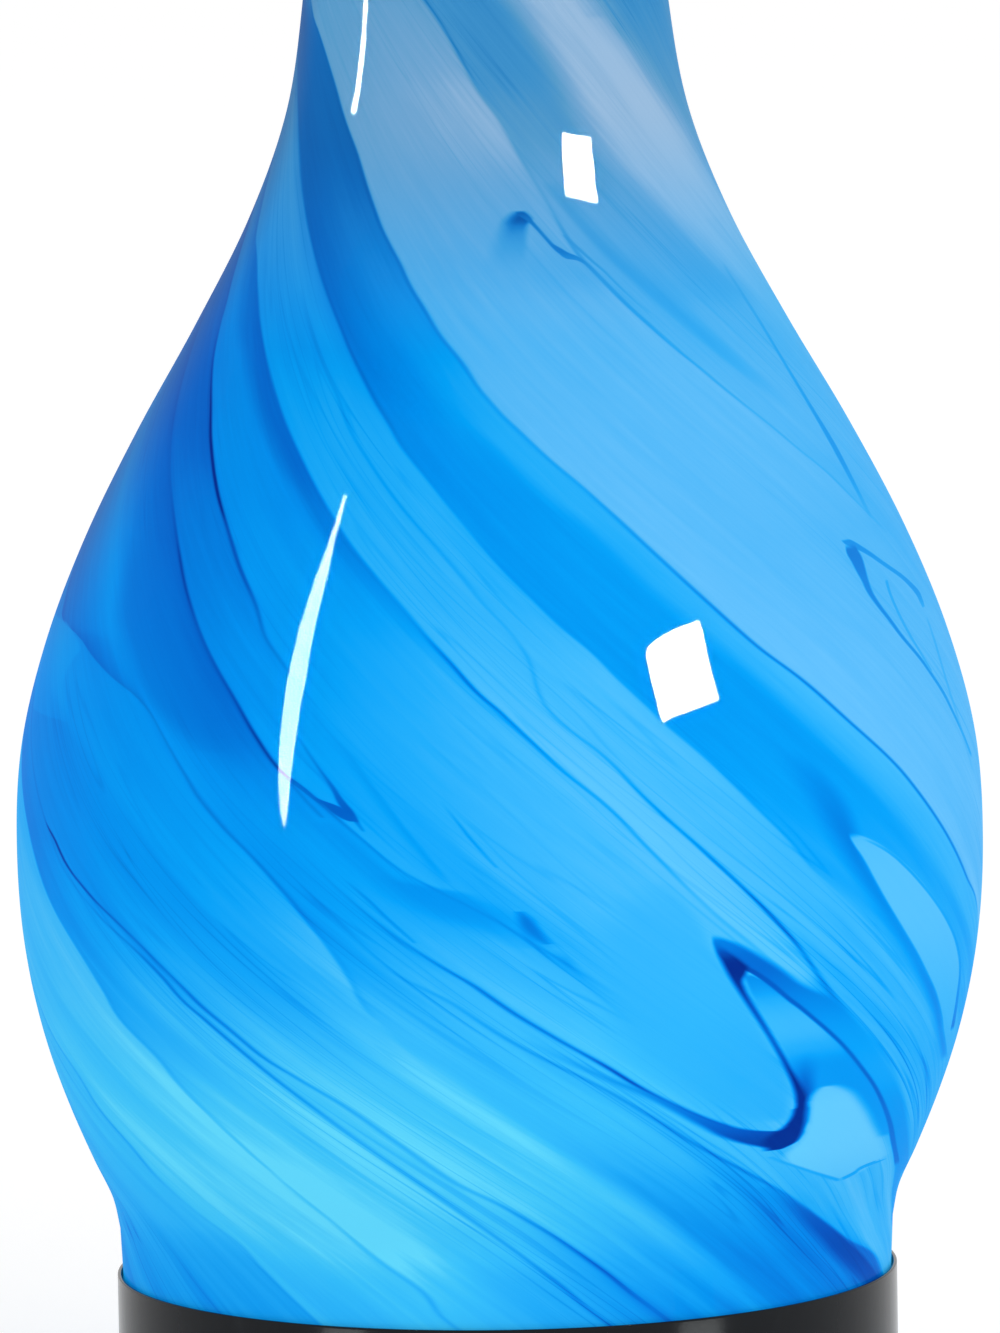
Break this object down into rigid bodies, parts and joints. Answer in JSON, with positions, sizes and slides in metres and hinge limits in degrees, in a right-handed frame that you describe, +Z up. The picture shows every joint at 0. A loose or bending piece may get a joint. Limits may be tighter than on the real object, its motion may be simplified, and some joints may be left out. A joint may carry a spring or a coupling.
{
  "type": "glass table lamp",
  "caption": "Table lamp with a blown glass gourd body on a round metal cup, a night light inside, a harp, a drum shade, a turn switch and a finial.",
  "frame": {"origin": "middle of the felt pad's underside, on the lamp's axis", "axes": "+Z up along the rod, the switch knob towards -Y, the cord gland towards +Y, the harp's legs along X"},
  "size_m": [0.3, 0.3, 0.5753],
  "materials": {
    "felt": "pressed felt",
    "black_enamel": "satin black enamel on spun steel",
    "cast_iron": "as cast",
    "rubber": "moulded",
    "zinc_steel": "zinc plated",
    "phenolic": "moulded dark phenolic",
    "bulb_glass": "frosted",
    "brass": "polished and lacquered",
    "blue_glass": "glossy blown glass with milky and blue swirls",
    "fibre_paper": "vulcanised fibre",
    "styrene": "satin white",
    "linen": "plain woven linen"
  },
  "bodies": {
    "lamp_body": {"felt_pad": "felt", "base_cup": "black_enamel", "base_weight": "cast_iron", "cord_gland": "rubber", "center_rod": "zinc_steel", "rod_lower_nut": "zinc_steel", "rod_lower_washer": "zinc_steel", "rod_upper_washer": "zinc_steel", "rod_upper_nut": "zinc_steel", "night_light_bracket": "zinc_steel", "night_light_socket": "phenolic", "seat_gasket": "rubber", "glass_body": "blue_glass", "neck_gasket": "rubber", "neck_cap": "black_enamel", "neck_spacer": "brass", "harp_saddle": "brass", "harp_wire": "brass", "harp_stud": "brass", "socket_cap": "brass", "socket_shell": "brass", "socket_liner": "fibre_paper", "socket_insulator": "phenolic", "screw_shell": "brass", "center_contact": "brass"},
    "switch": {"switch_shaft": "brass", "switch_knob": "phenolic"},
    "main_bulb": {"bulb_screw_base": "zinc_steel", "bulb_globe": "bulb_glass"},
    "night_bulb": {"night_light_cap": "brass", "night_light_bulb": "bulb_glass"},
    "ferrule_left": {"harp_ferrule_left": "brass"},
    "ferrule_right": {"harp_ferrule_right": "brass"},
    "shade": {"shade_spider": "brass", "shade_bottom_ring": "brass", "shade_liner": "styrene", "shade_fabric": "linen"},
    "finial": {"finial": "brass"}
  },
  "joints": [
    {"name": "switch_turn", "type": "hinge", "parent": "lamp_body", "child": "switch", "pos_m": [0, -0.0245, 0.3557], "axis": [0, -1, 0], "continuous": true},
    {"name": "main_bulb_turn", "type": "hinge", "parent": "lamp_body", "child": "main_bulb", "pos_m": [0, 0, 0.3724], "axis": [0, 0, 1], "continuous": true},
    {"name": "night_bulb_turn", "type": "hinge", "parent": "lamp_body", "child": "night_bulb", "pos_m": [0.03, 0, 0.0341], "axis": [0, 0, 1], "continuous": true},
    {"name": "shade_turn", "type": "hinge", "parent": "lamp_body", "child": "shade", "pos_m": [0, 0, 0.5464], "axis": [0, 0, 1], "continuous": true},
    {"name": "finial_turn", "type": "hinge", "parent": "lamp_body", "child": "finial", "pos_m": [0, 0, 0.5483], "axis": [0, 0, 1], "continuous": true},
    {"name": "ferrule_left_slide", "type": "slide", "parent": "lamp_body", "child": "ferrule_left", "axis": [0, 0, 1], "range_m": [0, 0.014]},
    {"name": "ferrule_right_slide", "type": "slide", "parent": "lamp_body", "child": "ferrule_right", "axis": [0, 0, 1], "range_m": [0, 0.014]}
  ]
}
